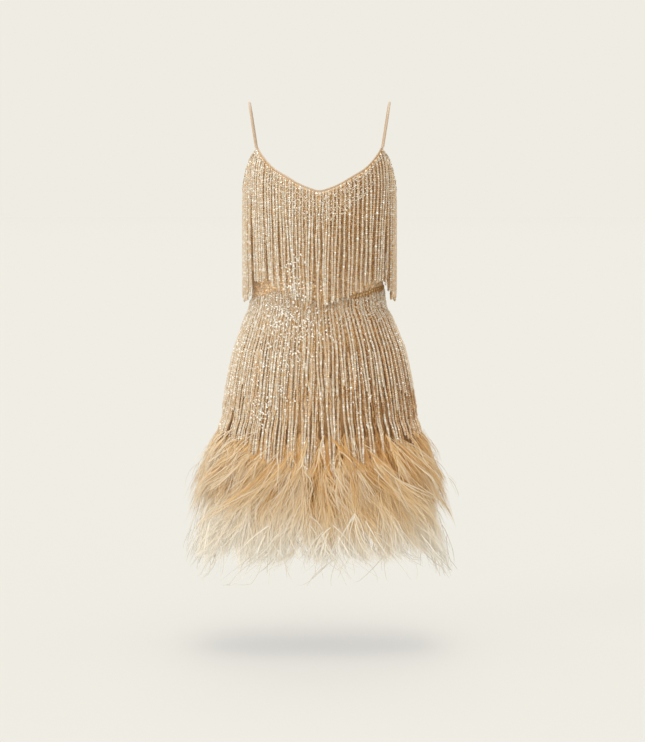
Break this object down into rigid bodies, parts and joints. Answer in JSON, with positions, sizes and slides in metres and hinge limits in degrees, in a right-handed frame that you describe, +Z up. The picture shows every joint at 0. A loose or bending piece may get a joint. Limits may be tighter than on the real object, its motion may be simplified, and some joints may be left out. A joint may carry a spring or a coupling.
{
  "type": "flapper dress",
  "caption": "Hollow sleeveless mini dress with thin shoulder straps, a V neck, tiered curtains of beaded fringe and a feathered hem.",
  "frame": {"origin": "on the shoulder line where the straps are held, midway between the tops of the two straps", "axes": "+Z up, -Y towards the dress's front, +X towards the wearer's left"},
  "size_m": [0.5004, 0.3987, 0.8799],
  "materials": {
    "base_cloth": "stretch mesh sewn all over with small matt gold sequins",
    "binding": "narrow tan satin bias binding and rolled straps, soft sheen",
    "braid": "looped metallic-thread braid, old gold",
    "bead_fringe": "strands of small silver-lined champagne glass beads, glossy",
    "plume": "ostrich plumes dyed peach tan, matt and soft",
    "down": "ostrich plumes dyed pale cream, matt, thin at the tips"
  },
  "bodies": {
    "root": {"bodice_front": "base_cloth", "bodice_back": "base_cloth", "skirt_front": "base_cloth", "skirt_back": "base_cloth", "neck_binding_front": "binding", "neck_binding_back": "binding", "armhole_binding_left": "binding", "armhole_binding_right": "binding", "strap_left": "binding", "strap_right": "binding", "waist_braid_front": "braid", "waist_braid_back": "braid", "bodice_fringe_front": "bead_fringe", "bodice_fringe_back": "bead_fringe", "bodice_fringe_left": "bead_fringe", "bodice_fringe_right": "bead_fringe", "skirt_fringe_upper_front": "bead_fringe", "skirt_fringe_upper_back": "bead_fringe", "skirt_fringe_lower_front": "bead_fringe", "skirt_fringe_lower_back": "bead_fringe", "feathers_upper_front": "plume", "feathers_upper_back": "plume", "feathers_lower_front": "down", "feathers_lower_back": "down"}
  },
  "joints": []
}
